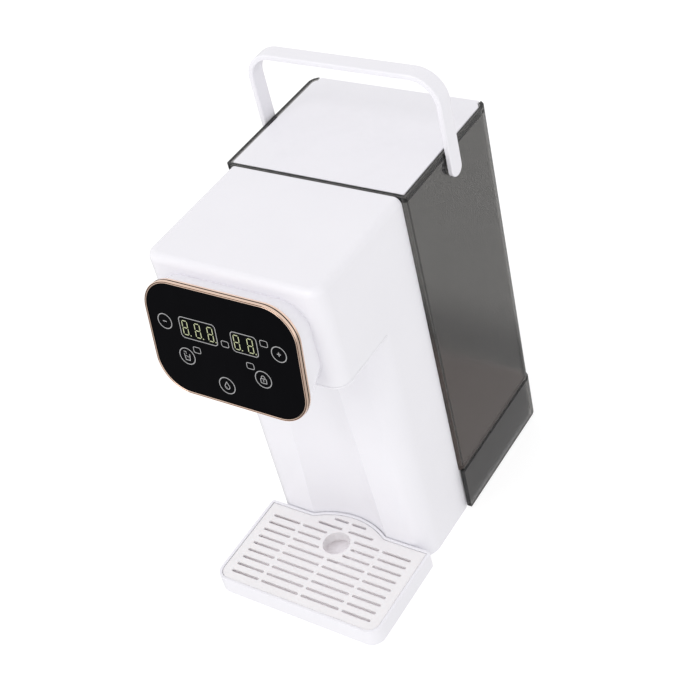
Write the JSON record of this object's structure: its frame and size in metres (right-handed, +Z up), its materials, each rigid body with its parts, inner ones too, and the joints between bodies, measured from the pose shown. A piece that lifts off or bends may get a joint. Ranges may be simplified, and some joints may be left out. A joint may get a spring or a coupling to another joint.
{
  "type": "hot water dispenser",
  "caption": "Tabletop hot water dispenser with a lift-off smoked water tank at the back, a tilted touch panel, a spout under its head and a slotted drip tray.",
  "frame": {"origin": "middle of the footprint, tank and drip tray included, on the surface that it stands on", "axes": "+X to the right of someone who faces the panel, +Y from the front to the tank at the back, +Z up"},
  "size_m": [0.17, 0.2858, 0.3932],
  "materials": {
    "shell_white": "glossy white moulding",
    "lid_white": "glossy white moulding",
    "handle_white": "glossy white moulding",
    "tray_white": "glossy white moulding",
    "grid_white": "glossy white moulding",
    "spout_white": "glossy white moulding",
    "base_white": "fine-textured white moulding",
    "ring_gold": "polished rose gold",
    "panel_black": "black-backed panel glass",
    "tank_smoke": "see-through smoke-grey plastic",
    "rubber_dark": "matt rubber",
    "silicone_clear": "milky silicone rubber",
    "board_green": "green circuit board",
    "display_dark": "dark display block",
    "led_amber": "small light windows",
    "steel": "bright steel",
    "screw_steel": "plated steel",
    "nylon_black": "black moulding",
    "valve_white": "natural white moulding",
    "float_white": "foamed white moulding",
    "magnet_grey": "dark sintered magnet",
    "transformer_yellow": "taped winding",
    "relay_blue": "blue relay case",
    "ribbon_grey": "grey flat cable"
  },
  "bodies": {
    "dispenser": {"body_shell": "shell_white", "head_bottom_cover": "shell_white", "rear_panel": "base_white", "shell_screws": "screw_steel", "base_platform": "base_white", "bottom_plate": "base_white", "base_screws": "screw_steel", "rubber_feet": "rubber_dark", "panel_pod": "shell_white", "bezel_ring": "ring_gold", "panel_glass": "panel_black", "touch_board": "board_green", "volume_display": "display_dark", "temperature_display": "display_dark", "indicator_leds": "led_amber", "spout_nozzle": "spout_white", "outlet_chamber": "valve_white", "heater_barrel": "steel", "heater_caps": "nylon_black", "heater_bracket": "base_white", "thermal_cutouts": "nylon_black", "temperature_sensors": "steel", "pump_head": "nylon_black", "pump_motor": "steel", "pump_cradle": "base_white", "port_socket": "valve_white", "port_seal": "rubber_dark", "cord_gland": "rubber_dark", "reed_sensor": "nylon_black", "inlet_hose": "silicone_clear", "delivery_hose": "silicone_clear", "outlet_hose": "silicone_clear", "power_board": "board_green", "board_screws": "screw_steel", "supply_transformer": "transformer_yellow", "mains_relay": "relay_blue", "board_parts": "nylon_black", "ribbon_cable": "ribbon_grey"},
    "tank": {"tank_body": "tank_smoke", "valve_housing": "valve_white", "valve_spring": "steel", "inlet_filter": "valve_white", "float_guide": "valve_white"},
    "lid": {"tank_lid": "lid_white", "lid_seal": "silicone_clear"},
    "handle": {"carry_handle": "handle_white"},
    "valve": {"valve_plunger": "valve_white", "valve_seal": "rubber_dark"},
    "float": {"level_float": "float_white", "float_magnet": "magnet_grey"},
    "rotor": {"pump_rotor": "valve_white"},
    "tray": {"drip_tray": "tray_white"},
    "grid": {"drip_grid": "grid_white"}
  },
  "joints": [
    {"name": "tank_lift", "type": "slide", "parent": "dispenser", "child": "tank", "axis": [0, 0, 1], "range_m": [0, 0.06]},
    {"name": "lid_lift", "type": "slide", "parent": "tank", "child": "lid", "axis": [0, 0, 1], "range_m": [0, 0.02]},
    {"name": "handle_swing", "type": "hinge", "parent": "tank", "child": "handle", "pos_m": [0, 0.0782, 0.314], "axis": [1, 0, 0], "range_deg": [-101, 67]},
    {"name": "valve_travel", "type": "slide", "parent": "tank", "child": "valve", "axis": [0, 0, -1], "range_m": [0, 0.004], "deforming": ["valve_spring"]},
    {"name": "float_rise", "type": "slide", "parent": "tank", "child": "float", "axis": [0, 0, 1], "range_m": [0, 0.016]},
    {"name": "pump_spin", "type": "hinge", "parent": "dispenser", "child": "rotor", "pos_m": [0, -0.0119, 0.03], "axis": [1, 0, 0], "continuous": true},
    {"name": "tray_slide", "type": "slide", "parent": "dispenser", "child": "tray", "axis": [0, -1, 0], "range_m": [0, 0.12]},
    {"name": "grid_lift", "type": "slide", "parent": "tray", "child": "grid", "axis": [0, 0, 1], "range_m": [0, 0.03]}
  ],
  "couplings": [
    {"joint": "valve_travel", "follows": "tank_lift", "ratio": 0.066667}
  ]
}
